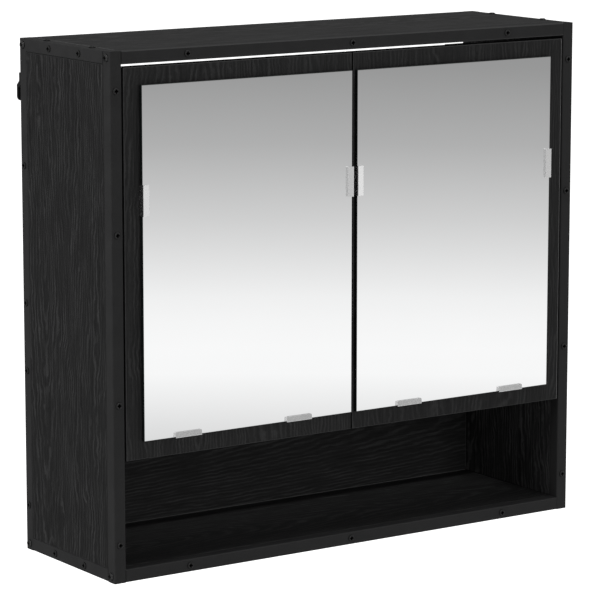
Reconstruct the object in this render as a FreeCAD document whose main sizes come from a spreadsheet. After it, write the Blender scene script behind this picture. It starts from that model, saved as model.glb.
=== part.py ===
"""Wall-hung mirror cabinet: a square-tube steel frame with wooden boards screwed into it, two inset
mirror doors on concealed hinges, an open niche below them and two hanger plates at the back.

Cabinet coordinates, in millimetres: X from the middle to the right, Y from the frame's front plane
to the back, Z from the frame's underside up. Every sub-part's Placement carries it from there to
the row frame, whose origin is the middle of the two wall-fixing holes, in the wall plane.
"""
import FreeCAD, Part

import os

import Sketcher

V = FreeCAD.Vector
doc = FreeCAD.newDocument("MirrorCabinet")

# ---------------------------------------------------------------------------------- dimensions

DIMENSIONS = (
    # frame
    ("width", 650, "frame, outer width"),
    ("depth", 200, "frame, outer depth"),
    ("height", 600, "frame, outer height"),
    ("tube", 15, "square tube, side"),
    ("tube_wall", 1.5, "square tube, wall"),
    ("tube_round", 1.5, "square tube, outer corner radius"),
    ("cap_thick", 2, "closing plate in a post's end"),
    ("insert_long", 20, "threaded insert in a cross rail's end"),
    # boards
    ("board", 15, "thickness of the boards"),
    ("board_round", 1, "rounding of the boards' edges"),
    ("niche", 125, "clear height of the open niche"),
    ("back_strip", 93, "height of the open strip above the back boards"),
    ("back_seam", 3, "gap between the two back boards"),
    ("divider_gap", 1.5, "doors' back to the divider shelf's front edge"),
    ("shelf_high", 350, "underside of the loose shelf"),
    ("shelf_back", 45, "front edge of the loose shelf, behind the front plane"),
    ("shelf_play", 1, "gap round the loose shelf"),
    ("shelf_pin", 5, "shelf pin, diameter"),
    ("shelf_pin_in", 10, "shelf pin, length in the side panel"),
    ("shelf_pin_out", 8, "shelf pin, length under the shelf"),
    ("shelf_pin_edge", 30, "shelf pin, distance from the shelf's front or back edge"),
    ("dowel", 8, "divider dowel, diameter"),
    ("dowel_in_side", 10, "divider dowel, length in the side panel"),
    ("dowel_in_shelf", 20, "divider dowel, length in the divider shelf"),
    ("dowel_edge", 45, "divider dowel, distance from the boards' front or back"),
    # doors
    ("door_thick", 15, "door panel, thickness"),
    ("door_side", 2, "gap between door and frame post"),
    ("door_middle", 2, "gap between the two doors"),
    ("door_top", 3.5, "gap between door and top rail"),
    ("door_under", 0.6, "doors' reach below the divider shelf's underside"),
    ("door_round", 1, "rounding of the doors' front edges"),
    # mirrors and their clips
    ("glass", 4, "mirror glass, thickness"),
    ("glass_round", 0.5, "chamfer of the mirror's front edges"),
    ("glass_outer", 20.5, "mirror's margin at the hinge side"),
    ("glass_inner", 2.5, "mirror's margin where the doors meet"),
    ("glass_top", 20, "mirror's margin at the top"),
    ("glass_bottom", 21, "mirror's margin at the bottom"),
    ("clip_long", 35, "mirror clip, length"),
    ("clip_lip", 7.5, "side clip, lip over the glass"),
    ("clip_lip_low", 5.8, "lower clip, lip over the glass"),
    ("clip_front", 3, "mirror clip, thickness of its front lip at the glass's edge"),
    ("clip_tip", 2.2, "mirror clip, thickness of its front lip at its tip"),
    ("clip_corner", 0.8, "mirror clip, rounding of its tip's corners"),
    ("clip_web", 0.5, "mirror clip, thickness round the glass's edge"),
    ("clip_flange", 0.8, "mirror clip, thickness of the flange behind the glass"),
    ("clip_reach", 20, "mirror clip, length of the flange behind the glass"),
    ("clip_round", 0.6, "mirror clip, rounding of its outer front edge"),
    ("clip_drop", 148.5, "side clips' middle below the door's upper edge"),
    ("clip_apart", 151, "distance between a door's two lower clips"),
    ("clip_play", 0.1, "play between clip and glass edge"),
    # hinges
    ("cup", 35, "hinge cup, diameter"),
    ("cup_wall", 1, "hinge cup, wall and floor"),
    ("cup_edge", 5, "hinge cup, distance from the door's edge"),
    ("door_skin", 3, "wood left in front of a hinge cup"),
    ("flange_thick", 1, "hinge cup's flange on the door's back"),
    ("flange_high", 62, "hinge cup's flange, height"),
    ("flange_wide", 22, "hinge cup's flange, width"),
    ("flange_screw", 48, "distance between a flange's two screws"),
    ("hinge_pin", 3, "hinge pin, diameter"),
    ("hinge_pin_edge", 16, "hinge pin's axis from the door's edge"),
    ("eye_wall", 1.2, "wall of the arm's eye round the pin"),
    ("eye_gap", 0.3, "clearance between the arm's eye and the cup's floor"),
    ("arm", 2.5, "hinge arm, thickness"),
    ("arm_high", 14, "hinge arm, width along the pin"),
    ("arm_leave", 23, "angle at which the arm leaves the pin"),
    ("arm_clear", 0.8, "clearance between the arm and the turning door edge"),
    ("foot_long", 34, "hinge arm's foot along the side panel"),
    ("base_thick", 2, "hinge base plate, thickness"),
    ("base_high", 50, "hinge base plate, height"),
    ("base_screw", 32, "distance between a base plate's two screws"),
    ("base_middle", 17, "base plate's screws behind the arm's bend"),
    ("hinge_low", 80, "lower hinge above the door's lower edge"),
    ("hinge_high", 80, "upper hinge below the door's upper edge"),
    # hangers
    ("hanger", 3, "hanger plate, thickness"),
    ("hanger_wide", 40, "hanger plate, width"),
    ("hanger_pad", 11, "hanger plate, height of the pad on the post"),
    ("hanger_joggle", 5, "hanger plate, height of its step"),
    ("hanger_tongue", 17, "hanger plate, height of the tongue on the wall"),
    ("hanger_drop", 73, "hanger's lower end below the frame's top"),
    ("hanger_side", 0.5, "hanger's edge inside the frame's side"),
    ("hanger_off", 8.5, "wall plane behind the frame"),
    ("hanger_round", 5, "rounding of the tongue's corners"),
    ("wall_hole", 6.5, "wall-fixing hole, diameter"),
    ("wall_hole_side", 28, "wall-fixing hole inside the frame's side"),
    ("wall_hole_up", 9, "wall-fixing hole above the hanger's lower end"),
    # fasteners
    ("screw", 3.5, "frame screw, shank diameter"),
    ("screw_grip", 17, "frame screw, length in the board"),
    ("head", 8, "frame screw, head diameter"),
    ("head_high", 1.6, "frame screw, head height"),
    ("bolt", 5, "corner bolt, shank diameter"),
    ("bolt_head", 9, "corner bolt, head diameter"),
    ("bolt_head_high", 2.6, "corner bolt, head height"),
    ("bolt_grip", 18, "corner bolt, length in the insert"),
    ("small_screw", 3, "hinge and clip screw, shank diameter"),
    ("small_head", 6, "hinge screw, head diameter"),
    ("small_head_high", 1.2, "hinge screw, head height"),
    ("small_grip", 9, "hinge screw, length in the board"),
    ("play", 0.05, "radial play round screws, dowels and pins"),
    ("hole_spare", 1, "depth of a screw's hole beyond its point"),
    ("cut_over", 1, "reach of a through cut beyond the piece"),
    ("post_screw_end", 44, "posts' outer screws from the posts' ends"),
    ("post_screw_mid", 204, "posts' inner screws from the posts' ends"),
    ("rail_screw_side", 100.5, "cross rails' outer screws inside the frame's side"),
    ("side_screw", 33, "side screws into top and bottom, from mid-depth"),
    ("edge_screw", 50, "vertical screws into the side panels, from mid-depth"),
    ("back_screw", 38.5, "back boards' end screws inside the board's edges"),
)

sheet = doc.addObject("Spreadsheet::Sheet", "d")
for row, (alias, value, meaning) in enumerate(DIMENSIONS, start=1):
    sheet.set(f"A{row}", meaning)
    sheet.set(f"B{row}", str(value))
    sheet.setAlias(f"B{row}", alias)
doc.recompute()

# Places worked out from the driving dimensions, as expressions.
HALF = "d.width / 2"
TUBE_MID = "d.tube / 2"
POST_X = f"({HALF} - {TUBE_MID})"
FRAME_IN = f"({HALF} - d.tube)"
BACK_MID = f"(d.depth - {TUBE_MID})"
BACK_IN = "(d.depth - d.tube)"
FLOOR = "d.tube"
CEILING = "(d.height - d.tube)"
DIVIDER_LOW = f"({FLOOR} + d.niche)"
BACK_BOARD = f"(({CEILING} - d.back_strip - {FLOOR} - d.back_seam) / 2)"
UPPER_BACK_LOW = f"({FLOOR} + {BACK_BOARD} + d.back_seam)"
DIVIDER_FRONT = "(d.door_thick + d.divider_gap)"
DOWEL_YS = ("(d.tube + d.dowel_edge)", f"({BACK_IN} - d.dowel_edge)")
DOWEL_Z = f"({DIVIDER_LOW} + d.board / 2)"
SHELF_REAR = f"({BACK_IN} - d.shelf_play)"
SHELF_PIN_YS = ("(d.shelf_back + d.shelf_pin_edge)", f"({SHELF_REAR} - d.shelf_pin_edge)")
SHELF_PIN_Z = "(d.shelf_high - d.shelf_pin / 2)"
DOOR_OUT = f"({FRAME_IN} - d.door_side)"
DOOR_IN = "(d.door_middle / 2)"
DOOR_MID = f"(({DOOR_OUT} + {DOOR_IN}) / 2)"
DOOR_LOW = f"({DIVIDER_LOW} - d.door_under)"
DOOR_HIGH = f"({CEILING} - d.door_top)"
GLASS_OUT = f"({DOOR_OUT} - d.glass_outer)"
GLASS_IN = f"({DOOR_IN} + d.glass_inner)"
GLASS_LOW = f"({DOOR_LOW} + d.glass_bottom)"
GLASS_HIGH = f"({DOOR_HIGH} - d.glass_top)"
GLASS_BACK = "(-d.clip_flange)"
GLASS_FRONT = "(-d.clip_flange - d.glass)"
CLIP_FRONT = f"({GLASS_FRONT} - d.clip_front)"
CLIP_Z = f"({DOOR_HIGH} - d.clip_drop)"

PIN_X = f"({DOOR_OUT} - d.hinge_pin_edge)"
EYE_R = "(d.hinge_pin / 2 + d.play + d.eye_wall)"
PIN_Y = f"(d.door_skin + d.cup_wall + {EYE_R} + d.eye_gap)"
CUP_X = f"({DOOR_OUT} - d.cup_edge - d.cup / 2)"
HEEL = f"sqrt(d.hinge_pin_edge ^ 2 + (d.door_thick - {PIN_Y}) ^ 2)"
ARM_IN = f"({HEEL} + d.arm_clear)"
ARM_OUT = f"({ARM_IN} + d.arm)"
HINGE_Z = (f"({DOOR_LOW} + d.hinge_low)", f"({DOOR_HIGH} - d.hinge_high)")
BASE_Y = f"({PIN_Y} + {ARM_IN} + d.base_middle)"

WALL = "(d.depth + d.hanger_off)"
HANGER_LOW = "(d.height - d.hanger_drop)"
HANGER_PAD_LOW = f"({HANGER_LOW} + d.hanger_tongue + d.hanger_joggle)"
HANGER_SCREW_Z = f"({HANGER_PAD_LOW} + d.hanger_pad / 2)"
WALL_HOLE_X = f"({HALF} - d.wall_hole_side)"
WALL_HOLE_Z = f"({HANGER_LOW} + d.wall_hole_up)"
SCREW_R = "(d.screw / 2 + d.play)"
BOLT_R = "(d.bolt / 2 + d.play)"
SMALL_R = "(d.small_screw / 2 + d.play)"

POST_SCREWS = ("d.post_screw_end", "d.post_screw_mid", "(d.height - d.post_screw_mid)")
FRONT_POST_SCREWS = POST_SCREWS + ("(d.height - d.post_screw_end)",)
REAR_POST_SCREWS = POST_SCREWS + (HANGER_SCREW_Z,)
RAIL_SCREWS = (f"-({HALF} - d.rail_screw_side)", "0", f"({HALF} - d.rail_screw_side)")
SIDE_SCREWS = ("(d.depth / 2 - d.side_screw)", "(d.depth / 2 + d.side_screw)")
EDGE_SCREWS = ("(d.depth / 2 - d.edge_screw)", "(d.depth / 2 + d.edge_screw)")
RAIL_DEPTHS = (TUBE_MID, BACK_MID)
RAIL_HEIGHTS = (TUBE_MID, f"(d.height - {TUBE_MID})")
BACK_SCREWS = (
    f"({FLOOR} + d.back_screw)",
    f"({FLOOR} + {BACK_BOARD} - d.back_screw)",
    f"({UPPER_BACK_LOW} + d.back_screw)",
    f"({UPPER_BACK_LOW} + {BACK_BOARD} - d.back_screw)",
)
SIDES = (("left", "-1 * "), ("right", ""))

# ------------------------------------------------------------------------------- building tools

PLANES = {"x": "YZ_Plane", "y": "XZ_Plane", "z": "XY_Plane"}
PLANE_SIGN = {"x": "", "y": "-1 * ", "z": ""}
TOUCH = 1e-6
kept = []


def keep(thing, node):
    """Name a finished sub-part after its node and move it to the row frame."""
    thing.Label = node
    thing.setExpression("Placement.Base.y", f"-{WALL}")
    thing.setExpression("Placement.Base.z", f"-{WALL_HOLE_Z}")
    kept.append(thing)
    return thing


def new_body(name):
    return doc.addObject("PartDesign::Body", name)


def new_sketch(body, axis, at):
    """A sketch on the body's plane across an axis, at a place along that axis."""
    sketch = body.newObject("Sketcher::SketchObject", "Sketch")
    plane = next(f for f in body.Origin.OriginFeatures if f.Role == PLANES[axis])
    sketch.AttachmentSupport = [(plane, "")]
    sketch.MapMode = "FlatFace"
    sketch.setExpression("AttachmentOffset.Base.z", f"{PLANE_SIGN[axis]}({at})")
    return sketch


def bind(sketch, kind, geometry, point, expression, start):
    """A driving constraint of one point, or of a whole edge when point is None."""
    where = (geometry,) if point is None else (geometry, point)
    index = sketch.addConstraint(Sketcher.Constraint(kind, *where, start))
    sketch.setExpression(f"Constraints[{index}]", expression)


def add_polygon(sketch, points):
    """A closed outline whose corners are (u, v) expressions."""
    first = sketch.GeometryCount
    count = len(points)
    values = [(evaluate(sketch, u), evaluate(sketch, v)) for u, v in points]
    for i in range(count):
        a, b = values[i], values[(i + 1) % count]
        sketch.addGeometry(Part.LineSegment(V(*a, 0), V(*b, 0)))
    for i in range(count):
        sketch.addConstraint(Sketcher.Constraint("Coincident", first + i, 2, first + (i + 1) % count, 1))
    for i, (u, v) in enumerate(points):
        bind(sketch, "DistanceX", first + i, 1, u, values[i][0])
        bind(sketch, "DistanceY", first + i, 1, v, values[i][1])


def evaluate(thing, expression):
    """The number that an expression gives now."""
    return float(thing.evalExpression(expression))


def add_rectangle(sketch, u0, u1, v0, v1):
    add_polygon(sketch, [(u0, v0), (u1, v0), (u1, v1), (u0, v1)])


def add_circle(sketch, u, v, radius):
    centre = V(evaluate(sketch, u), evaluate(sketch, v), 0)
    circle = sketch.addGeometry(Part.Circle(centre, V(0, 0, 1), evaluate(sketch, radius)))
    bind(sketch, "DistanceX", circle, 3, u, centre.x)
    bind(sketch, "DistanceY", circle, 3, v, centre.y)
    bind(sketch, "Radius", circle, None, radius, evaluate(sketch, radius))


def pad(body, sketch, axis, length):
    """Thicken a sketch towards the positive end of its axis."""
    feature = body.newObject("PartDesign::Pad", "Pad")
    feature.Profile = sketch
    feature.setExpression("Length", length)
    feature.Reversed = axis == "y"
    return feature


def block(name, x, y, z):
    """A body that is one rectangular pad, from low and high expressions along each axis."""
    body = new_body(name)
    sketch = new_sketch(body, "z", z[0])
    add_rectangle(sketch, x[0], x[1], y[0], y[1])
    pad(body, sketch, "z", f"({z[1]}) - ({z[0]})")
    return body


def drill(body, axis, at, centres, radius, depth):
    """Round holes across a plane, reaching the same depth on both sides of it."""
    sketch = new_sketch(body, axis, at)
    for u, v in centres:
        add_circle(sketch, u, v, radius)
    pocket = body.newObject("PartDesign::Pocket", "Pocket")
    pocket.Profile = sketch
    pocket.SideType = "Symmetric"
    pocket.setExpression("Length", f"2 * ({depth})")
    return pocket


def round_edges(body, feature, choose, radius, kind="PartDesign::Fillet"):
    """Fillet or chamfer the edges of the body so far that choose() picks."""
    doc.recompute()
    names = [f"Edge{i}" for i, edge in enumerate(feature.Shape.Edges, start=1) if choose(edge)]
    dress = body.newObject(kind, "Dress")
    dress.Base = (feature, names)
    dress.setExpression("Size" if kind.endswith("Chamfer") else "Radius", radius)
    return dress


def soften(body):
    """Round all the edges of a board that is still plain."""
    round_edges(body, body.Tip, lambda edge: True, "d.board_round")


def along(edge, axis):
    """True for a straight edge parallel to an axis."""
    if not isinstance(edge.Curve, Part.Line):
        return False
    direction = edge.Curve.Direction
    return abs(abs(getattr(direction, axis)) - 1) < TOUCH


def pairs(us, vs):
    return [(u, v) for u in us for v in vs]


# ---------------------------------------------------------------------------------------- frame

def tube(node, axis, start, end, mid, drillings):
    """A square tube along an axis. mid is its middle in the sketch across that axis, and each
    drilling is (axis, plane, centres, radius)."""
    body = new_body(node)
    sketch = new_sketch(body, axis, start)
    u, v = mid
    for half in (TUBE_MID, f"({TUBE_MID} - d.tube_wall)"):
        add_rectangle(sketch, f"{u} - {half}", f"{u} + {half}", f"{v} - {half}", f"{v} + {half}")
    profile = pad(body, sketch, axis, f"({end}) - ({start})")
    doc.recompute()
    box = profile.Shape.BoundBox
    others = [a for a in "xyz" if a != axis]

    def on_outside(point, other):
        sides = (getattr(box, other.upper() + end_name) for end_name in ("Min", "Max"))
        return any(abs(getattr(point, other) - side) < TOUCH for side in sides)

    def outer_corner(edge):
        point = edge.Vertexes[0].Point
        return along(edge, axis) and all(on_outside(point, other) for other in others)

    round_edges(body, profile, outer_corner, "d.tube_round")
    for across, plane, centres, radius in drillings:
        drill(body, across, plane, centres, radius, "d.tube")
    return keep(body, node)


def make_frame():
    """Four posts, four cross rails and four side rails."""
    for side, sign in SIDES:
        x = f"{sign}{POST_X}"
        for place, y, heights in (
            ("front", TUBE_MID, FRONT_POST_SCREWS),
            ("rear", BACK_MID, REAR_POST_SCREWS),
        ):
            drillings = [
                ("x", x, pairs([y], RAIL_HEIGHTS), BOLT_R),
                ("y", y, pairs([x], heights), SCREW_R),
            ]
            if place == "rear":
                drillings.append(("x", x, pairs([y], BACK_SCREWS), SCREW_R))
            tube(f"{place}_post_{side}", "z", "0", "d.height", (x, y), drillings)
        for level, z in zip(("bottom", "top"), RAIL_HEIGHTS):
            tube(
                f"side_rail_{level}_{side}", "y", "d.tube", BACK_IN, (x, z),
                [
                    ("x", x, pairs(SIDE_SCREWS, [z]), SCREW_R),
                    ("z", z, pairs([x], EDGE_SCREWS), SCREW_R),
                ],
            )
    for place, y in zip(("front", "rear"), RAIL_DEPTHS):
        for level, z in zip(("bottom", "top"), RAIL_HEIGHTS):
            tube(
                f"{place}_rail_{level}", "x", f"-{FRAME_IN}", FRAME_IN, (y, z),
                [("y", y, pairs(RAIL_SCREWS, [z]), SCREW_R)],
            )


def make_frame_fillings():
    """Closing plates in the posts' ends and threaded inserts in the cross rails' ends."""
    inner = f"({TUBE_MID} - d.tube_wall)"
    caps = []
    inserts = []
    for _, sign in SIDES:
        x = f"{sign}{POST_X}"
        for y in RAIL_DEPTHS:
            across = ((f"{x} - {inner}", f"{x} + {inner}"), (f"{y} - {inner}", f"{y} + {inner}"))
            for low in ("0", "d.height - d.cap_thick"):
                caps.append(block("cap", *across, (low, f"{low} + d.cap_thick")))
            for z in RAIL_HEIGHTS:
                ends = sorted_ends(sign, f"{FRAME_IN} - d.insert_long", FRAME_IN)
                insert = block("insert", ends, across[1], (f"{z} - {inner}", f"{z} + {inner}"))
                drill(insert, "x", f"{sign}{FRAME_IN}", [(y, z)], BOLT_R, "d.insert_long + d.cut_over")
                inserts.append(insert)
    group("post_caps", caps)
    group("rail_inserts", inserts)


def sorted_ends(sign, low, high):
    """Low and high X of a stretch that is given for the right side."""
    return (low, high) if sign == "" else (f"-({high})", f"-({low})")


def group(node, things):
    """Identical pieces that share one node."""
    compound = doc.addObject("Part::Compound", node)
    compound.Links = things
    return keep(compound, node)


# --------------------------------------------------------------------------------------- boards

def make_side_panels():
    grip = "d.screw_grip"
    for side, sign in SIDES:
        x = f"{sign}{POST_X}"
        body = block(
            f"side_panel_{side}",
            sorted_ends(sign, FRAME_IN, f"{FRAME_IN} + d.board"),
            ("d.tube", BACK_IN),
            (FLOOR, CEILING),
        )
        soften(body)
        drill(body, "y", "d.tube", pairs([x], FRONT_POST_SCREWS), SCREW_R, grip)
        drill(body, "y", BACK_IN, pairs([x], REAR_POST_SCREWS), SCREW_R, grip)
        drill(body, "z", FLOOR, pairs([x], EDGE_SCREWS), SCREW_R, grip)
        drill(body, "z", CEILING, pairs([x], EDGE_SCREWS), SCREW_R, grip)
        inner = f"{sign}{FRAME_IN}"
        pin_r = "d.shelf_pin / 2 + d.play"
        drill(body, "x", inner, pairs(SHELF_PIN_YS, [SHELF_PIN_Z]), pin_r, "d.shelf_pin_in + d.play")
        dowel_r = "d.dowel / 2 + d.play"
        drill(body, "x", inner, pairs(DOWEL_YS, [DOWEL_Z]), dowel_r, "d.dowel_in_side + d.play")
        bases = [
            (BASE_Y, f"({z} {way} d.base_screw / 2)") for z in HINGE_Z for way in "-+"
        ]
        drill(body, "x", inner, bases, SMALL_R, "d.small_grip")
        keep(body, f"side_panel_{side}")


def make_cross_boards():
    """The top and bottom panels between the rails, flush with them on the inside."""
    for node, z, thick in (
        ("bottom_panel", RAIL_HEIGHTS[0], (f"{FLOOR} - d.board", FLOOR)),
        ("top_panel", RAIL_HEIGHTS[1], (CEILING, f"{CEILING} + d.board")),
    ):
        body = block(node, (f"-{FRAME_IN}", FRAME_IN), ("d.tube", BACK_IN), thick)
        soften(body)
        for y in ("d.tube", BACK_IN):
            drill(body, "y", y, pairs(RAIL_SCREWS, [z]), SCREW_R, "d.screw_grip")
        for _, sign in SIDES:
            drill(body, "x", f"{sign}{FRAME_IN}", pairs(SIDE_SCREWS, [z]), SCREW_R, "d.screw_grip")
        keep(body, node)


def make_back_boards():
    """Two boards between the rear posts. The strip above them stays open."""
    for node, low, screws in (
        ("back_board_lower", FLOOR, BACK_SCREWS[:2]),
        ("back_board_upper", UPPER_BACK_LOW, BACK_SCREWS[2:]),
    ):
        thick = (BACK_IN, f"{BACK_IN} + d.board")
        body = block(node, (f"-{FRAME_IN}", FRAME_IN), thick, (low, f"{low} + {BACK_BOARD}"))
        soften(body)
        for _, sign in SIDES:
            drill(body, "x", f"{sign}{FRAME_IN}", pairs([BACK_MID], screws), SCREW_R, "d.screw_grip")
        keep(body, node)


def make_divider_shelf():
    """The fixed shelf over the niche, notched where the doors' hinge edges swing in."""
    body = new_body("divider_shelf")
    sketch = new_sketch(body, "z", DIVIDER_LOW)
    notch_y = f"({PIN_Y} + {ARM_IN} + d.divider_gap)"
    notch_x = f"({PIN_X} - {ARM_IN} - d.divider_gap)"
    right = [
        (FRAME_IN, BACK_IN),
        (FRAME_IN, notch_y),
        (notch_x, notch_y),
        (notch_x, DIVIDER_FRONT),
    ]
    left = [(f"-{x}", y) for x, y in reversed(right)]
    add_polygon(sketch, right + left)
    pad(body, sketch, "z", "d.board")
    soften(body)
    for _, sign in SIDES:
        radius = "d.dowel / 2 + d.play"
        depth = "d.dowel_in_shelf + d.play"
        drill(body, "x", f"{sign}{FRAME_IN}", pairs(DOWEL_YS, [DOWEL_Z]), radius, depth)
    keep(body, "divider_shelf")


def make_loose_shelf():
    """The loose shelf behind the doors, on four pins."""
    reach = f"({FRAME_IN} - d.shelf_play)"
    height = ("d.shelf_high", "d.shelf_high + d.board")
    shelf = block("inner_shelf", (f"-{reach}", reach), ("d.shelf_back", SHELF_REAR), height)
    soften(shelf)
    keep(shelf, "inner_shelf")


def rod(name, axis, start, end, u, v, radius):
    """A plain round rod along an axis."""
    body = new_body(name)
    sketch = new_sketch(body, axis, start)
    add_circle(sketch, u, v, radius)
    pad(body, sketch, axis, f"({end}) - ({start})")
    return body


def make_pegs():
    """Shelf pins and the divider's dowels."""
    pins = []
    dowels = []
    for _, sign in SIDES:
        for y in SHELF_PIN_YS:
            ends = sorted_ends(sign, f"{FRAME_IN} - d.shelf_pin_out", f"{FRAME_IN} + d.shelf_pin_in")
            pins.append(rod("pin", "x", *ends, y, SHELF_PIN_Z, "d.shelf_pin / 2"))
        for y in DOWEL_YS:
            ends = sorted_ends(sign, f"{FRAME_IN} - d.dowel_in_shelf", f"{FRAME_IN} + d.dowel_in_side")
            dowels.append(rod("dowel", "x", *ends, y, DOWEL_Z, "d.dowel / 2"))
    group("shelf_pins", pins)
    group("divider_dowels", dowels)


# ---------------------------------------------------------------------------------------- doors

def make_door(side, sign):
    """A door panel with two blind bores for its hinge cups."""
    body = new_body(f"door_{side}")
    sketch = new_sketch(body, "y", "0")
    add_rectangle(sketch, *sorted_ends(sign, DOOR_IN, DOOR_OUT), DOOR_LOW, DOOR_HIGH)
    panel = pad(body, sketch, "y", "d.door_thick")
    round_edges(body, panel, lambda e: all(abs(v.Point.y) < TOUCH for v in e.Vertexes), "d.door_round")
    cup_x = f"{sign}{CUP_X}"
    drill(body, "y", "d.door_thick", pairs([cup_x], HINGE_Z), "d.cup / 2", "d.door_thick - d.door_skin")
    flange_holes = [
        (cup_x, f"({z} {way} d.flange_screw / 2)") for z in HINGE_Z for way in "-+"
    ]
    drill(body, "y", "d.door_thick", flange_holes, SMALL_R, "d.small_grip")
    for name, centre in clip_places(sign):
        drill(body, "y", "0", [clip_screw_place(name, centre, sign)], SMALL_R, "d.small_grip")
    keep(body, f"door_{side}")


def make_mirror(side, sign):
    body = new_body(f"mirror_{side}")
    sketch = new_sketch(body, "y", GLASS_FRONT)
    add_rectangle(sketch, *sorted_ends(sign, GLASS_IN, GLASS_OUT), GLASS_LOW, GLASS_HIGH)
    plate = pad(body, sketch, "y", "d.glass")
    doc.recompute()
    front = plate.Shape.BoundBox.YMin
    round_edges(
        body, plate, lambda e: all(abs(v.Point.y - front) < TOUCH for v in e.Vertexes),
        "d.glass_round", "PartDesign::Chamfer",
    )
    keep(body, f"mirror_{side}")


def clip_places(sign):
    """Each clip's name and the middle of the glass edge that it holds, for one door."""
    return (
        ("outer", (f"{sign}{GLASS_OUT}", CLIP_Z)),
        ("inner", (f"{sign}{GLASS_IN}", CLIP_Z)),
        ("low_outer", (f"{sign}({DOOR_MID} + d.clip_apart / 2)", GLASS_LOW)),
        ("low_inner", (f"{sign}({DOOR_MID} - d.clip_apart / 2)", GLASS_LOW)),
    )


def clip_inward(name, sign):
    """Where the glass lies from a clip: +1 or -1 along X for a side clip, along Z for a low one."""
    if name.startswith("low"):
        return "1"
    towards_middle = -1 if sign == "" else 1
    return str(towards_middle if name == "outer" else -towards_middle)


def clip_screw_place(name, centre, sign):
    """A clip's screw, in the middle of its flange behind the glass."""
    offset = f"{clip_inward(name, sign)} * d.clip_reach / 2"
    if name.startswith("low"):
        return centre[0], f"({centre[1]} + {offset})"
    return f"({centre[0]} + {offset})", centre[1]


def make_clip(node, name, centre, sign):
    """A clip round one edge of the glass: a front lip that thins to its tip, a thin web and a
    flange that lies between the glass and the door."""
    low = name.startswith("low")
    edge = centre[1] if low else centre[0]
    across = centre[0] if low else centre[1]
    inward = clip_inward(name, sign)
    lip = "d.clip_lip_low" if low else "d.clip_lip"

    def step(distance):
        return f"({edge} + {inward} * ({distance}))"

    outside = step("-(d.clip_play + d.clip_web)")
    inside = step("-d.clip_play")
    profile = [
        (outside, "0"),
        (outside, CLIP_FRONT),
        (step(lip), f"({GLASS_FRONT} - d.clip_tip)"),
        (step(lip), GLASS_FRONT),
        (inside, GLASS_FRONT),
        (inside, GLASS_BACK),
        (step("d.clip_reach"), GLASS_BACK),
        (step("d.clip_reach"), "0"),
    ]
    body = new_body(node)
    start = f"({across} - d.clip_long / 2)"
    if low:
        sketch = new_sketch(body, "x", start)
        add_polygon(sketch, [(y, z) for z, y in profile])
        bent = pad(body, sketch, "x", "d.clip_long")
    else:
        sketch = new_sketch(body, "z", start)
        add_polygon(sketch, profile)
        bent = pad(body, sketch, "z", "d.clip_long")
    doc.recompute()
    front = bent.Shape.BoundBox.YMin
    rounded = round_edges(
        body, bent, lambda e: all(abs(v.Point.y - front) < TOUCH for v in e.Vertexes), "d.clip_round"
    )
    tip = evaluate(sketch, step(lip))
    middle = "z" if low else "x"
    round_edges(
        body, rounded,
        lambda e: along(e, "y") and abs(getattr(e.Vertexes[0].Point, middle) - tip) < TOUCH,
        "d.clip_corner",
    )
    drill(body, "y", "0", [clip_screw_place(name, centre, sign)], SMALL_R, "d.clip_flange")
    keep(body, node)


def make_doors():
    for side, sign in SIDES:
        make_door(side, sign)
        make_mirror(side, sign)
        for name, centre in clip_places(sign):
            make_clip(f"mirror_clip_{side}_{name}", name, centre, sign)


# --------------------------------------------------------------------------------------- hinges

def make_cup(sign, z):
    """A hinge cup sunk in the door's back, with a flange on the surface and holes for its pin."""
    x = f"{sign}{CUP_X}"
    body = new_body("hinge_cup")
    sketch = new_sketch(body, "y", "d.door_skin")
    add_circle(sketch, x, z, "d.cup / 2 - d.play")
    pad(body, sketch, "y", "d.door_thick + d.flange_thick - d.door_skin")
    flange = new_sketch(body, "y", "d.door_thick")
    half_wide = "d.flange_wide / 2"
    half_high = "d.flange_high / 2"
    add_rectangle(
        flange, f"{x} - {half_wide}", f"{x} + {half_wide}", f"{z} - {half_high}", f"{z} + {half_high}"
    )
    pad(body, flange, "y", "d.flange_thick")
    deep = "d.door_thick + d.flange_thick - d.door_skin - d.cup_wall"
    drill(body, "y", "d.door_thick + d.flange_thick", [(x, z)], "d.cup / 2 - d.cup_wall", deep)
    screws = [(x, f"({z} {way} d.flange_screw / 2)") for way in "-+"]
    drill(body, "y", "d.door_thick", screws, SMALL_R, "2 * d.flange_thick")
    drill(body, "z", z, [(f"{sign}{PIN_X}", PIN_Y)], "d.hinge_pin / 2 + d.play", "d.cup / 2")
    return body


def make_pin(sign, z):
    """The hinge pin, as long as the cup's outline lets it be."""
    offset = f"({PIN_X} - {CUP_X})"
    half = f"(sqrt((d.cup / 2 - d.play) ^ 2 - ({offset} + d.hinge_pin / 2) ^ 2))"
    ends = (f"{z} - {half}", f"{z} + {half}")
    return rod("hinge_pin", "z", *ends, f"{sign}{PIN_X}", PIN_Y, "d.hinge_pin / 2")


def bar(name, angle, length, low, high):
    """A flat bar from a pivot outwards: length along the angle, from low to high beside it."""
    box = doc.addObject("Part::Box", name)
    box.setExpression("Length", length)
    box.setExpression("Width", f"({high}) - ({low})")
    box.setExpression("Height", "d.arm_high")
    box.setExpression("Placement.Rotation.Angle", f"{angle} * 1 deg")
    box.Placement.Rotation.Axis = V(0, 0, 1)
    box.setExpression("Placement.Base.x", f"-({low}) * sin({angle} * 1 deg)")
    box.setExpression("Placement.Base.y", f"({low}) * cos({angle} * 1 deg)")
    return box


def sector(name, radius, angle, length):
    """A round bar's sector about the pivot."""
    cylinder = doc.addObject("Part::Cylinder", name)
    cylinder.setExpression("Radius", radius)
    cylinder.setExpression("Height", length)
    cylinder.setExpression("Angle", angle)
    return cylinder


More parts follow.
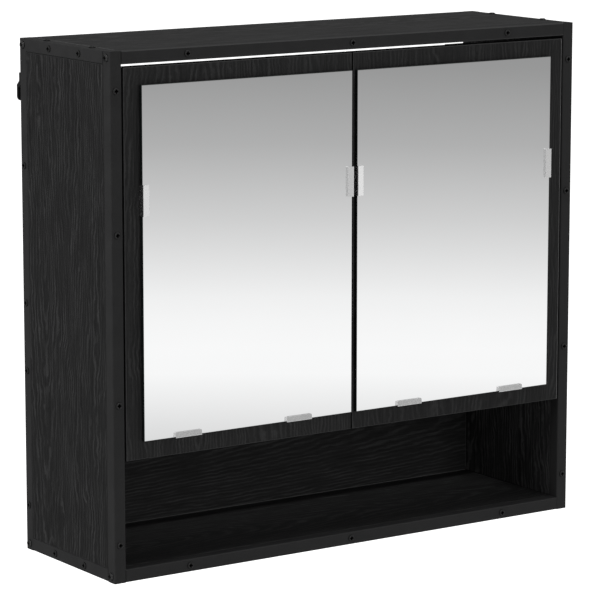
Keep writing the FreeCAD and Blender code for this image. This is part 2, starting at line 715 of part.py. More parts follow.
def cut(name, base, tool):
    feature = doc.addObject("Part::Cut", name)
    feature.Base = base
    feature.Tool = tool
    return feature


def make_arm_master():
    """A left-hand hinge arm about its pin, from its lower edge up: an eye, a radial stretch, a
    bend round the door's turning edge, and a foot against the base plate."""
    pivot_to_plate = f"({FRAME_IN} - d.base_thick - {PIN_X})"
    eye = sector("eye", EYE_R, "360", "d.arm_high")
    arm_middle = f"({ARM_IN} + d.arm / 2)"
    spoke = bar("spoke", "d.arm_leave", arm_middle, "-d.arm / 2", "d.arm / 2")
    knee = sector("knee", "d.arm / 2", "360", "d.arm_high")
    knee.setExpression("Placement.Base.x", f"{arm_middle} * cos(d.arm_leave * 1 deg)")
    knee.setExpression("Placement.Base.y", f"{arm_middle} * sin(d.arm_leave * 1 deg)")
    bend_outer = sector("bend_outer", ARM_OUT, "90 - d.arm_leave", "d.arm_high")
    bend_inner = sector("bend_inner", ARM_IN, "360", "d.arm_high")
    bend = cut("bend", bend_outer, bend_inner)
    bend.Placement.Rotation = FreeCAD.Rotation(V(0, 0, 1), 0)
    bend.setExpression("Placement.Rotation.Angle", "d.arm_leave * 1 deg")
    cross = doc.addObject("Part::Box", "cross")
    cross.setExpression("Length", pivot_to_plate)
    cross.setExpression("Width", "d.arm")
    cross.setExpression("Height", "d.arm_high")
    cross.setExpression("Placement.Base.x", f"-{pivot_to_plate}")
    cross.setExpression("Placement.Base.y", ARM_IN)
    foot = doc.addObject("Part::Box", "foot")
    foot.setExpression("Length", "d.arm")
    foot.setExpression("Width", "d.foot_long")
    foot.setExpression("Height", "d.arm_high")
    foot.setExpression("Placement.Base.x", f"-{pivot_to_plate}")
    foot.setExpression("Placement.Base.y", ARM_IN)
    solid = doc.addObject("Part::MultiFuse", "arm_solid")
    solid.Shapes = [eye, spoke, knee, bend, cross, foot]
    bore = sector("bore", "d.hinge_pin / 2 + d.play", "360", "d.arm_high")
    bored = cut("arm_bored", solid, bore)
    screw_way = doc.addObject("Part::Cylinder", "screw_way")
    screw_way.setExpression("Radius", SMALL_R)
    screw_way.setExpression("Height", "d.arm + 2 * d.cut_over")
    screw_way.Placement.Rotation = FreeCAD.Rotation(V(0, 1, 0), 90)
    screw_way.setExpression("Placement.Base.x", f"-{pivot_to_plate} - d.cut_over")
    screw_way.setExpression("Placement.Base.y", f"{ARM_IN} + d.base_middle")
    screw_way.setExpression("Placement.Base.z", "d.arm_high / 2")
    return cut("hinge_arm_master", bored, screw_way)


def place_link(name, target, base, rotation):
    """A copy of a master at a place."""
    link = doc.addObject("App::Link", name)
    link.LinkedObject = target
    link.Placement = FreeCAD.Placement(V(0, 0, 0), rotation)
    for axis, expression in zip("xyz", base):
        link.setExpression(f"Placement.Base.{axis}", expression)
    return link


def make_base_plate(sign, z):
    """A base plate on the side panel: two wood screws at its ends and a tapped hole for the arm."""
    half = "d.base_high / 2"
    body = block(
        "hinge_base",
        sorted_ends(sign, f"{FRAME_IN} - d.base_thick", FRAME_IN),
        (f"{BASE_Y} - d.arm_high / 2", f"{BASE_Y} + d.arm_high / 2"),
        (f"{z} - {half}", f"{z} + {half}"),
    )
    holes = [(BASE_Y, f"({z} {way} d.base_screw / 2)") for way in "-+"] + [(BASE_Y, z)]
    drill(body, "x", f"{sign}{FRAME_IN}", holes, SMALL_R, "2 * d.base_thick")
    return body


def make_hinges():
    arm_left = make_arm_master()
    arm_right = doc.addObject("Part::Mirroring", "hinge_arm_mirrored")
    arm_right.Source = arm_left
    arm_right.Normal = V(1, 0, 0)
    upright = FreeCAD.Rotation()
    for side, sign in SIDES:
        arm = arm_left if side == "left" else arm_right
        base = [(f"{sign}{PIN_X}", PIN_Y, f"{z} - d.arm_high / 2") for z in HINGE_Z]
        group(f"hinge_cups_{side}", [make_cup(sign, z) for z in HINGE_Z])
        group(f"hinge_pins_{side}", [make_pin(sign, z) for z in HINGE_Z])
        group(f"hinge_arms_{side}", [place_link("arm", arm, place, upright) for place in base])
        group(f"hinge_bases_{side}", [make_base_plate(sign, z) for z in HINGE_Z])


# -------------------------------------------------------------------------------------- hangers

def make_hanger(side, sign):
    """A stepped plate: a pad on the rear post and a tongue that lies on the wall."""
    tongue_top = f"({HANGER_LOW} + d.hanger_tongue)"
    pad_back = "(d.depth + d.hanger)"
    tongue_front = f"({WALL} - d.hanger)"
    profile = [
        (WALL, HANGER_LOW),
        (WALL, f"{tongue_top} + d.hanger / 2"),
        (pad_back, f"{HANGER_PAD_LOW} + d.hanger / 2"),
        (pad_back, f"{HANGER_PAD_LOW} + d.hanger_pad"),
        ("d.depth", f"{HANGER_PAD_LOW} + d.hanger_pad"),
        ("d.depth", f"{HANGER_PAD_LOW} - d.hanger / 2"),
        (tongue_front, f"{tongue_top} - d.hanger / 2"),
        (tongue_front, HANGER_LOW),
    ]
    body = new_body(f"hanger_{side}")
    outer = f"({HALF} - d.hanger_side)"
    ends = sorted_ends(sign, f"{outer} - d.hanger_wide", outer)
    sketch = new_sketch(body, "x", ends[0])
    add_polygon(sketch, profile)
    plate = pad(body, sketch, "x", "d.hanger_wide")
    doc.recompute()
    low = plate.Shape.BoundBox.ZMin
    round_edges(
        body, plate, lambda e: along(e, "y") and abs(e.Vertexes[0].Point.z - low) < TOUCH, "d.hanger_round"
    )
    drill(body, "y", WALL, [(f"{sign}{WALL_HOLE_X}", WALL_HOLE_Z)], "d.wall_hole / 2", "2 * d.hanger")
    drill(body, "y", "d.depth", [(f"{sign}{POST_X}", HANGER_SCREW_Z)], SCREW_R, "2 * d.hanger")
    keep(body, f"hanger_{side}")


# ------------------------------------------------------------------------------------ fasteners

# A screw's shape, as shares of its shank's radius, head's radius and head's height.
POINT_FLAT = 0.5
RIM_HIGH = 0.4
CONE_DEEP = 1.7
CROSS_LONG = 0.65
CROSS_HALF = 0.14
CROSS_DEEP = 0.75

# A head's shape: its flat top and the mouth of its cone, as shares of the head's radius, and its
# rounding, as a share of the head's height.
PAN = (0.8, 0.55, 0.5)
DOME = (0.6, 0.3, 0.4)


def screw_master(name, radius, head_radius, head_high, length, shape):
    """A screw along Z with its head's underside at zero, its shank below, and a recess that is a
    cone with a cross over it."""
    crown_share, cone_share, round_share = shape
    body = new_body(name)
    sketch = new_sketch(body, "y", "0")
    crown = f"({head_radius} * {crown_share})"
    add_polygon(
        sketch,
        [
            ("0", f"-({length})"),
            (f"{radius} * {POINT_FLAT}", f"-({length})"),
            (radius, f"-({length}) + {radius}"),
            (radius, "0"),
            (head_radius, "0"),
            (head_radius, f"{head_high} * {RIM_HIGH}"),
            (crown, head_high),
            (f"{head_radius} * {cone_share}", head_high),
            ("0", f"{head_high} * (1 - {CONE_DEEP})"),
        ],
    )
    turn = body.newObject("PartDesign::Revolution", "Revolution")
    turn.Profile = sketch
    turn.ReferenceAxis = (sketch, ["V_Axis"])
    turn.Angle = 360
    cone = evaluate(sketch, f"{head_radius} * {cone_share}")
    round_edges(
        body, turn,
        lambda e: isinstance(e.Curve, Part.Circle) and e.Curve.Radius > cone and e.BoundBox.ZMin > TOUCH,
        f"{head_high} * {round_share}",
    )
    cross = new_sketch(body, "z", head_high)
    arm_long = f"({head_radius} * {CROSS_LONG})"
    arm_half = f"({head_radius} * {CROSS_HALF})"
    add_polygon(
        cross,
        [
            (arm_half, arm_half), (arm_long, arm_half), (arm_long, f"-{arm_half}"),
            (arm_half, f"-{arm_half}"), (arm_half, f"-{arm_long}"), (f"-{arm_half}", f"-{arm_long}"),
            (f"-{arm_half}", f"-{arm_half}"), (f"-{arm_long}", f"-{arm_half}"),
            (f"-{arm_long}", arm_half), (f"-{arm_half}", arm_half), (f"-{arm_half}", arm_long),
            (arm_half, arm_long),
        ],
    )
    pocket = body.newObject("PartDesign::Pocket", "Pocket")
    pocket.Profile = cross
    pocket.SideType = "Symmetric"
    pocket.setExpression("Length", f"2 * {head_high} * {CROSS_DEEP}")
    return body


# Rotations that drive a screw, whose shank points down, into the cabinet along each direction.
DRIVE = {
    "+x": FreeCAD.Rotation(V(0, 1, 0), -90),
    "-x": FreeCAD.Rotation(V(0, 1, 0), 90),
    "+y": FreeCAD.Rotation(V(1, 0, 0), 90),
    "-y": FreeCAD.Rotation(V(1, 0, 0), -90),
    "+z": FreeCAD.Rotation(V(1, 0, 0), 180),
    "-z": FreeCAD.Rotation(),
}


def place_screws(master, direction, places):
    return [place_link("screw", master, place, DRIVE[direction]) for place in places]


def make_frame_screws():
    """Screws through the tubes into the boards' edges, and the corner bolts of the side frames."""
    length = "d.tube + d.screw_grip - d.hole_spare"
    sizes = ("d.screw / 2", "d.head / 2", "d.head_high", length)
    screw = screw_master("frame_screw", *sizes, PAN)
    posts_x = [f"{sign}{POST_X}" for _, sign in SIDES]
    front = [(x, "0", z) for x, z in pairs(posts_x, FRONT_POST_SCREWS)]
    front += [(x, "0", z) for x, z in pairs(RAIL_SCREWS, RAIL_HEIGHTS)]
    group("screws_front", place_screws(screw, "+y", front))
    rear = [(x, "d.depth", z) for x, z in pairs(posts_x, POST_SCREWS)]
    rear += [(x, "d.depth", z) for x, z in pairs(RAIL_SCREWS, RAIL_HEIGHTS)]
    group("screws_rear", place_screws(screw, "-y", rear))
    beside = pairs(SIDE_SCREWS, RAIL_HEIGHTS) + pairs([BACK_MID], BACK_SCREWS)
    group(
        "screws_sides",
        place_screws(screw, "+x", [(f"-{HALF}", y, z) for y, z in beside])
        + place_screws(screw, "-x", [(HALF, y, z) for y, z in beside]),
    )
    above = [(x, y, "d.height") for x, y in pairs(posts_x, EDGE_SCREWS)]
    below = [(x, y, "0") for x, y in pairs(posts_x, EDGE_SCREWS)]
    group("screws_top", place_screws(screw, "-z", above))
    group("screws_bottom", place_screws(screw, "+z", below))
    on_hangers = [(x, "d.depth + d.hanger", HANGER_SCREW_Z) for x in posts_x]
    group("hanger_screws", place_screws(screw, "-y", on_hangers))

    length = "d.tube + d.bolt_grip"
    sizes = ("d.bolt / 2", "d.bolt_head / 2", "d.bolt_head_high", length)
    bolt = screw_master("bolt", *sizes, DOME)
    corners = pairs(RAIL_DEPTHS, RAIL_HEIGHTS)
    group(
        "corner_bolts",
        place_screws(bolt, "+x", [(f"-{HALF}", y, z) for y, z in corners])
        + place_screws(bolt, "-x", [(HALF, y, z) for y, z in corners]),
    )


def make_small_screws():
    """Screws of the hinges and the mirror clips."""
    shank = "d.small_screw / 2"
    sizes = (shank, "d.small_head / 2", "d.small_head_high")
    cup_screw = screw_master("cup_screw", *sizes, "d.small_grip", PAN)
    base_length = "d.base_thick + d.small_grip - d.hole_spare"
    base_screw = screw_master("base_screw", *sizes, base_length, PAN)
    arm_length = "d.arm + d.base_thick - d.play"
    arm_screw = screw_master("arm_screw", *sizes, arm_length, PAN)
    for side, sign in SIDES:
        cup_x = f"{sign}{CUP_X}"
        on_cups = [
            (cup_x, "d.door_thick + d.flange_thick", f"{z} {way} d.flange_screw / 2")
            for z in HINGE_Z for way in "-+"
        ]
        group(f"cup_screws_{side}", place_screws(cup_screw, "-y", on_cups))
        outwards = "+x" if sign == "" else "-x"
        base_face = f"{sign}({FRAME_IN} - d.base_thick)"
        arm_face = f"{sign}({FRAME_IN} - d.base_thick - d.arm)"
        on_bases = [(base_face, BASE_Y, f"{z} {way} d.base_screw / 2") for z in HINGE_Z for way in "-+"]
        on_arms = [(arm_face, BASE_Y, z) for z in HINGE_Z]
        group(
            f"base_screws_{side}",
            place_screws(base_screw, outwards, on_bases) + place_screws(arm_screw, outwards, on_arms),
        )
        tacks = []
        for name, centre in clip_places(sign):
            x, z = clip_screw_place(name, centre, sign)
            tacks.append(rod("tack", "y", "-d.clip_flange", "d.small_grip - d.hole_spare", x, z, shank))
        group(f"clip_screws_{side}", tacks)


# ------------------------------------------------------------------------------------ the model

make_frame()
make_frame_fillings()
make_side_panels()
make_cross_boards()
make_back_boards()
make_divider_shelf()
make_loose_shelf()
make_pegs()
make_doors()
make_hinges()
for hanger_side, hanger_sign in SIDES:
    make_hanger(hanger_side, hanger_sign)
make_frame_screws()
make_small_screws()
doc.recompute()

faults = [f"{o.Label}: {o.State}" for o in doc.Objects if {"Invalid", "Error"} & set(o.State)]
faults += [f"{p.Label}: no valid shape" for p in kept if p.Shape.isNull() or not p.Shape.isValid()]
if faults:
    raise SystemExit("\n".join(faults))

os.makedirs("parts", exist_ok=True)
for part in kept:
    part.Shape.exportStep(f"parts/{part.Label}.step")
print(f"{len(kept)} nodes, {sum(len(part.Shape.Solids) for part in kept)} solids")
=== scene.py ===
"""Looks of the wall-hung mirror cabinet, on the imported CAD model: black powder coat, black oak
boards, silvered mirrors, satin clips and dark screws, in a plain pale studio.

Everything is in metres, in the row frame: X to the right, Y into the wall, Z up. The photograph's
camera has upright verticals. This one is pitched down to the object instead, with no shift.
"""

import math
from functools import reduce

import bpy
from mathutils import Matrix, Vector


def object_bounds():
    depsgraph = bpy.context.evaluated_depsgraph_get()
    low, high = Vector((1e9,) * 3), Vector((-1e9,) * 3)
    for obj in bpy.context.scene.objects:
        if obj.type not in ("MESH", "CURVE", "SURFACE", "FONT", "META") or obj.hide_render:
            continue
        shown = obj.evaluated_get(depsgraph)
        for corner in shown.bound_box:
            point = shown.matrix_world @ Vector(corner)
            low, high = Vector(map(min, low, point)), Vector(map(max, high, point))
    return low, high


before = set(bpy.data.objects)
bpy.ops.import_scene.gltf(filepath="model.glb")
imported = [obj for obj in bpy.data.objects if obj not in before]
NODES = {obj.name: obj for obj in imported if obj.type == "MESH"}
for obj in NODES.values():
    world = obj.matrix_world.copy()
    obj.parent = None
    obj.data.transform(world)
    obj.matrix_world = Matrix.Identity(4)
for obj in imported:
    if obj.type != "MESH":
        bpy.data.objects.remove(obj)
cad_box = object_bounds()

# ------------------------------------------------------------------------------------ settings

# Camera: its aim is an offset from the middle of the cabinet, its angles are in degrees and its
# lens is in millimetres.
AIM_OFFSET = Vector((-0.0097, 0.0021, -0.0212))
CAMERA_DISTANCE = 3.820
CAMERA_AZIMUTH = -34.234
CAMERA_ELEVATION = 9.954
LENS = 192.7

# Studio: the cabinet hangs as it would on a wall, well above the floor.
FLOOR_BELOW = 1.0
FLOOR_SIZE = 120.0
FLOOR_TONE = 0.80
DOME_STRENGTH = 0.32

# Soft boxes that face the cabinet's middle: offset from it, size, power in watts, and whether
# glossy surfaces see them.
LAMPS = {
    "key": ((-3.6, 0.2, 1.4), 1.8, 134.0, False),
    "fill": ((0.3, -3.3, 0.7), 1.6, 34.0, False),
    "top": ((0.0, -0.4, 2.6), 0.7, 8.5, True),
}

# What glossy surfaces see around them is the product of three curves, each a brightness by one
# part of the direction: from straight down to straight up, from left to right, and from the
# room to the wall.
BY_HEIGHT = (
    (-1.00, 0.55),
    (-0.30, 0.62),
    (-0.222, 0.66),
    (-0.210, 0.785),
    (-0.203, 0.875),
    (-0.195, 0.965),
    (-0.185, 0.97),
    (-0.173, 0.91),
    (-0.150, 0.66),
    (-0.125, 0.445),
    (-0.100, 0.315),
    (-0.070, 0.25),
    (0.00, 0.32),
    (0.12, 0.42),
    (0.30, 0.46),
    (0.55, 1.20),
    (1.00, 1.20),
)
BY_SIDE = (
    (-1.00, 0.75),
    (-0.50, 0.90),
    (0.20, 1.00),
    (0.64, 1.00),
    (0.72, 1.70),
    (1.00, 1.90),
)
BY_DEPTH = (
    (-1.00, 1.00),
    (-0.30, 1.00),
    (0.10, 0.30),
    (1.00, 0.30),
)

# Tones: each pair is the dark and the light that a pattern runs between.
FRAME_COAT = ((0.0180, 0.0180, 0.0182), (0.0230, 0.0230, 0.0233))
HANGER_COAT = (0.010, 0.016)
OAK = ((0.0078, 0.0078, 0.0079), (0.0310, 0.0310, 0.0313))
# Painted shade: the doors' oak made darker for the right door, as the shade that falls on it.
RIGHT_DOOR_OAK_PAINTED_DARKER = ((0.0066, 0.0066, 0.0067), (0.0255, 0.0255, 0.0258))
# Painted light: the oak of the niche's back board and floor, made paler as light in the niche's
# shade.
NICHE_OAK_PAINTED_PALER = ((0.0110, 0.0110, 0.0111), (0.0400, 0.0400, 0.0404))
# Painted light: the top's oak, made paler as the light that falls on it from above.
TOP_OAK_PAINTED_PALER = ((0.0088, 0.0088, 0.0089), (0.0350, 0.0350, 0.0354))
DEEP_OAK = ((0.0040, 0.0040, 0.0041), (0.0430, 0.0430, 0.0434))
BLACK_OXIDE = (0.014, 0.022)
BLACK_BOLT = (0.005, 0.010)
SILVER = ((0.955, 0.960, 0.962), (0.975, 0.978, 0.980))
GROUND_GLASS = ((0.002, 0.003, 0.003), (0.005, 0.007, 0.0065))
SATIN = (0.87, 0.94)
NICKEL = ((0.50, 0.49, 0.47), (0.66, 0.65, 0.62))
ZINC = ((0.42, 0.43, 0.45), (0.60, 0.61, 0.63))
BEECH = ((0.46, 0.29, 0.17), (0.66, 0.46, 0.30))
BEECH_FLECK = (0.30, 0.16, 0.08)

# Painted edge highlights, standing in for the light that rounded edges catch: on the frame and most
# boards, in the niche, on the doors, and a strong one on the doors' right-facing edges. On the side
# panels the edge tone is a flat mid tone of the foil, with no highlight.
PAINTED_EDGE_HIGHLIGHT = (0.0650, 0.0650, 0.0655)
NICHE_PAINTED_EDGE_HIGHLIGHT = (0.1300, 0.1300, 0.1308)
DOOR_PAINTED_EDGE_HIGHLIGHT = (0.0380, 0.0380, 0.0384)
DOOR_RIGHT_PAINTED_HIGHLIGHT = (0.3200, 0.3200, 0.3220)
SOFT_EDGE = (0.0190, 0.0190, 0.0192)

# Painted light and shade along Y: each stretch is (low, high, factor at low, factor at high), and
# scales the foil's tone. The niche's floor is painted a little darker at the front and much paler
# towards the back, where less light reaches, and painted dark as a shadow where it meets the back
# boards. The right side panel is painted paler, most towards the back.
FLOOR_PAINTED_LIGHT_AND_SHADE = ((-0.165, -0.050, 0.78, 3.80), (-0.050, -0.040, 1.0, 0.18))
RIGHT_SIDE_PAINTED_LIGHT = ((-0.170, -0.040, 1.85, 2.90),)

# The oak's patterns: waves per metre along the grain and over it.
DRIFT = (2.4, 9.0)
CURLS = (34.0, 42.0)
JITTER = (20.0, 110.0)
PATCHES = (22.0, 90.0)
STREAKS = (10.0, 560.0)
PORES = (75.0, 1300.0)

# The oak's growth rings: their mean width, how far drift and curls carry them, in metres, and
# how far their spacing jitters, in radians.
RING_WIDTH = 0.0052
DRIFT_REACH = 0.080
CURL_REACH = 0.0110
JITTER_REACH = 7.0


# ------------------------------------------------------------------------------ node tree tools

def rgba(colour):
    """A grey level, an (r, g, b) or a socket, as a colour input takes it."""
    if isinstance(colour, bpy.types.NodeSocket):
        return colour
    if isinstance(colour, (int, float)):
        return (colour, colour, colour, 1.0)
    return (*colour, 1.0)


class Nodes:
    """The node tree of a material or of the world, built a node at a time."""

    def __init__(self, owner):
        owner.use_nodes = True
        self.tree = owner.node_tree
        self.tree.nodes.clear()

    def add(self, kind, inputs=None, **settings):
        """A node with these settings, its inputs given by name or number."""
        node = self.tree.nodes.new("ShaderNode" + kind)
        for name, value in settings.items():
            setattr(node, name, value)
        for name, value in (inputs or {}).items():
            if isinstance(value, bpy.types.NodeSocket):
                self.tree.links.new(value, node.inputs[name])
            else:
                node.inputs[name].default_value = value
        return node

    def math(self, operation, a, b=0.0):
        return self.add("Math", {0: a, 1: b}, operation=operation).outputs[0]

    def plus(self, *values):
        return reduce(lambda a, b: self.math("ADD", a, b), values)

    def times(self, *values):
        return reduce(lambda a, b: self.math("MULTIPLY", a, b), values)

    def split(self, vector):
        """The X, Y and Z of a vector, by name."""
        return dict(zip("xyz", self.add("SeparateXYZ", {0: vector}).outputs))

    def curve(self, part, stops):
        """A value by one part of a direction, which runs from -1 to 1, through (part, value)
        stops."""
        curve = self.add("FloatCurve", {"Value": self.plus(self.times(part, 0.5), 0.5)})
        curve.mapping.use_clip = False
        points = curve.mapping.curves[0].points
        while len(points) < len(stops):
            points.new(0.5, 0.5)
        for point, (share, level) in zip(points, stops):
            point.location = ((share + 1) / 2, level)
            point.handle_type = "VECTOR"
        curve.mapping.update()
        return curve.outputs[0]


class Surface(Nodes):
    """One material of the cabinet. Its patterns keep to the model, in the row frame at rest."""

    def __init__(self, name):
        self.material = bpy.data.materials.new(name)
        super().__init__(self.material)
        coordinates = self.add("TexCoord")
        self.place = coordinates.outputs["Object"]
        self.normal = coordinates.outputs["Normal"]

    def texture(self, vector, scale, detail, roughness):
        inputs = {"Vector": vector, "Scale": scale, "Detail": detail, "Roughness": roughness}
        return self.add("TexNoise", inputs).outputs[0]

    def noise(self, scale, detail=2.0, roughness=0.5):
        """Noise that is alike in all directions, with so many waves per metre."""
        return self.texture(self.place, scale, detail, roughness)

    def drawn(self, parts, scales, detail=2.0, roughness=0.5):
        """Noise with waves of their own length along each of three parts of the place."""
        scaled = [self.times(part, scale) for part, scale in zip(parts, scales)]
        vector = self.add("CombineXYZ", dict(enumerate(scaled))).outputs[0]
        return self.texture(vector, 1.0, detail, roughness)

    def ramp(self, value, *stops):
        """A grey curve through (position, value) stops."""
        node = self.add("ValToRGB", {0: value})
        elements = node.color_ramp.elements
        while len(elements) < len(stops):
            elements.new(1.0)
        for element, (position, level) in zip(elements, stops):
            element.position = position
            element.color = rgba(level)
        return node.outputs[0]

    def span(self, value, low, high, to_low=0.0, to_high=1.0):
        """A value carried from one range to another, and kept in it."""
        inputs = {0: value, 1: low, 2: high, 3: to_low, 4: to_high}
        return self.add("MapRange", inputs).outputs[0]

    def blend(self, factor, a, b):
        """A colour between two, each a colour or a socket."""
        inputs = {0: factor, 6: rgba(a), 7: rgba(b)}
        return self.add("Mix", inputs, data_type="RGBA").outputs[2]

    def dim(self, colour, factor):
        """A colour made darker or lighter by a factor."""
        return self.add("VectorMath", {0: colour, "Scale": factor}, operation="SCALE").outputs[0]

    def bump(self, height, strength, distance):
        inputs = {"Height": height, "Strength": strength, "Distance": distance}
        return self.add("Bump", inputs).outputs[0]

    def edges(self, bare=None):
        """One on rounded edges, zero on flat faces that lie along the axes, and on those edges
        that turn towards a bare axis."""
        parts = self.split(self.normal)
        size = {axis: self.math("ABSOLUTE", part) for axis, part in parts.items()}
        most = self.math("MAXIMUM", self.math("MAXIMUM", size["x"], size["y"]), size["z"])
        rounded = self.span(most, 0.93, 0.99, 1.0, 0.0)
        if bare is None:
            return rounded
        return self.times(rounded, self.span(size[bare], 0.05, 0.15, 1.0, 0.0))

    def finish(self, inputs):
        """The material, with a shader that has these inputs."""
        shader = self.add("BsdfPrincipled", inputs)
        self.add("OutputMaterial", {0: shader.outputs[0]})
        return self.material


# ------------------------------------------------------------------------------------ materials

def powder_coat(name, tones, painted_edge_highlight=0.60):
    """Black powder coat: a fine orange peel with faint mottling. Its last argument is how far its
    rounded edges are painted pale as a highlight, apart from those that turn towards X."""
    s = Surface(name)
    cloud = s.noise(38.0, detail=3.0, roughness=0.6)
    grit = s.noise(1500.0)
    mottling = s.plus(s.times(cloud, 0.6), s.times(grit, 0.4))
    peel = s.noise(900.0, detail=1.0, roughness=0.4)
    skin = s.blend(s.span(mottling, 0.35, 0.65), *tones)
    # Base colour: a painted highlight turns rounded edges pale, apart from those that turn towards
    # X.
    return s.finish({
        "Base Color": s.blend(s.times(s.edges(bare="x"), painted_edge_highlight), skin, PAINTED_EDGE_HIGHLIGHT),
        "Roughness": s.span(cloud, 0.3, 0.7, 0.50, 0.60),
        "Normal": s.bump(peel, strength=0.25, distance=0.0002),
        "Specular IOR Level": 0.10,
    })


class Board(Surface):
    """A board's material. axes names the grain's, the width's and the thickness's axis."""

    def __init__(self, name, axes):
        super().__init__(name)
        self.parts = self.split(self.place)
        self.along, self.across, self.deep = (self.parts[axis] for axis in axes)

    def grained(self, scales, detail, roughness=0.5):
        """Noise with one scale along the grain and another over it."""
        along, over = scales
        order = (self.along, self.across, self.deep)
        return self.drawn(order, (along, over, over), detail, roughness)

    def stray(self, scales, reach, roughness=0.5):
        """How far a ring is carried off its circle, either way, in metres."""
        noise = self.grained(scales, detail=3.0, roughness=roughness)
        return self.times(self.math("SUBTRACT", noise, 0.5), reach)

    def rings(self, heart, lean, width, wild):
        """Lines, from 0 to 1, where the growth rings come out at the surface."""
        drift = self.stray(DRIFT, DRIFT_REACH * wild)
        curl = self.stray(CURLS, CURL_REACH * wild, roughness=0.6)
        aside = self.plus(self.math("SUBTRACT", self.across, heart[0]), drift)
        below = self.plus(self.times(self.along, lean), heart[1], self.deep, drift)
        square = self.plus(self.times(aside, aside), self.times(below, below))
        radius = self.plus(self.math("SQRT", square), curl)
        jitter = self.times(self.grained(JITTER, detail=3.0, roughness=0.6), JITTER_REACH)
        turn = self.plus(self.times(radius, 2.0 * math.pi / width), jitter)
        wave = self.times(self.plus(self.math("SINE", turn), 1.0), 0.5)
        return self.ramp(wave, (0.0, 0.0), (0.50, 0.15), (0.82, 0.80), (1.0, 1.0))


def black_oak(name, axes, heart, lean, tones=OAK, edge=PAINTED_EDGE_HIGHLIGHT, right_edge=None, bare=None,
              fades=(), ring_width=RING_WIDTH, wild=1.0):
    """Black oak foil, with a painted highlight on its rounded edges.

    axes: the grain's, the width's and the thickness's axis.
    heart, lean: the middle of the growth rings, across the board and below its face, and its
        slope along the grain, which makes flat-sawn arches where the rings run out of the face.
    edge, right_edge: the tone of the painted highlight on rounded edges, and of the one on
        those that face right if they have another.
    bare: the axis towards which edges get no painted highlight.
    fades: stretches along Y of painted light and shade, each with a factor at either end.
    ring_width, wild: the rings' mean width, and how far they stray, as a share of the usual.
    """
    s = Board(name, axes)
    rings = s.rings(heart, lean, ring_width, wild)
    patches = s.span(s.grained(PATCHES, detail=2.0), 0.38, 0.62, 0.25, 1.0)
    streaks = s.span(s.grained(STREAKS, detail=3.0, roughness=0.65), 0.36, 0.68)
    closed = s.span(s.grained(PORES, detail=1.0), 0.54, 0.66, 1.0, 0.0)
    grain = s.plus(s.times(rings, patches, 0.66), s.times(streaks, 0.34))
    tone = s.times(grain, s.plus(s.times(closed, 0.5), 0.5))
    height = s.plus(s.times(closed, 0.6), s.times(grain, 0.4))
    skin = s.blend(tone, *tones)
    # Painted light and shade: the tone is scaled stretch by stretch along Y.
    for stretch in fades:
        skin = s.dim(skin, s.span(s.parts["y"], *stretch))
    # A painted highlight of its own on edges that face right.
    if right_edge is not None:
        edge = s.blend(s.span(s.split(s.normal)["x"], 0.02, 0.10), edge, right_edge)
    # Base colour: the foil, with a painted highlight on its rounded edges.
    return s.finish({
        "Base Color": s.blend(s.edges(bare), skin, edge),
        "Roughness": s.span(grain, 0.0, 1.0, 0.62, 0.48),
        "Normal": s.bump(height, strength=0.45, distance=0.0003),
        "Specular IOR Level": 0.15,
    })


def silvered_glass():
    """A mirror: silver behind clear glass on its faces, near-black glass at its ground edges."""
    s = Surface("silvered_glass")
    flat = s.span(s.math("ABSOLUTE", s.split(s.normal)["y"]), 0.80, 0.90)
    haze = s.noise(9.0, detail=3.0)
    grind = s.noise(700.0, roughness=0.6)
    return s.finish({
        "Base Color": s.blend(flat, s.blend(grind, *GROUND_GLASS), s.blend(haze, *SILVER)),
        "Metallic": flat,
        "Roughness": s.times(s.span(grind, 0.3, 0.7, 0.25, 0.40), s.math("SUBTRACT", 1.0, flat)),
    })


def satin_clip():
    """Satin plated spring steel, faintly mottled and brushed along the cabinet's height."""
    s = Surface("clip_satin")
    brushed = s.drawn(s.split(s.place).values(), (2600.0, 2600.0, 120.0))
    cloud = s.noise(120.0, detail=3.0, roughness=0.55)
    return s.finish({
        "Base Color": s.blend(cloud, *SATIN),
        "Metallic": 1.0,
        "Roughness": s.plus(s.span(cloud, 0.3, 0.7, 0.23, 0.27), s.times(brushed, 0.02)),
        "Normal": s.bump(cloud, strength=0.02, distance=0.0001),
    })


def black_steel(name, tones, roughness, gloss):
    """Blackened steel: mottled, with painted shade that turns it black and takes its gloss away
    where a recess closes in on itself.
    """
    s = Surface(name)
    pits = s.noise(1400.0, detail=3.0, roughness=0.6)
    cloud = s.noise(160.0)
    # Painted shade: ambient occlusion turns the colour black and takes the gloss away in recesses.
    near = s.add("AmbientOcclusion", {"Distance": 0.004}, samples=8).outputs["AO"]
    clear_of_painted_shade = s.span(near, 0.68, 0.92)
    skin = s.blend(s.span(pits, 0.35, 0.65), *tones)
    return s.finish({
        "Base Color": s.blend(clear_of_painted_shade, 0.0, skin),
        "Roughness": s.span(cloud, 0.3, 0.7, *roughness),
        "Normal": s.bump(pits, strength=0.2, distance=0.0001),
        "Specular IOR Level": s.times(clear_of_painted_shade, gloss),
    })


def plated(name, tones, roughness):
    """Plated steel with drawn scratches and a spangled tone."""
    s = Surface(name)
    scratches = s.drawn(s.split(s.place).values(), (2400.0, 2400.0, 160.0))
    spangle = s.noise(260.0, detail=3.0, roughness=0.6)
    return s.finish({
        "Base Color": s.blend(s.span(spangle, 0.35, 0.65), *tones),
        "Metallic": 1.0,
        "Roughness": s.span(scratches, 0.3, 0.7, *roughness),
        "Normal": s.bump(scratches, strength=0.12, distance=0.00005),
    })


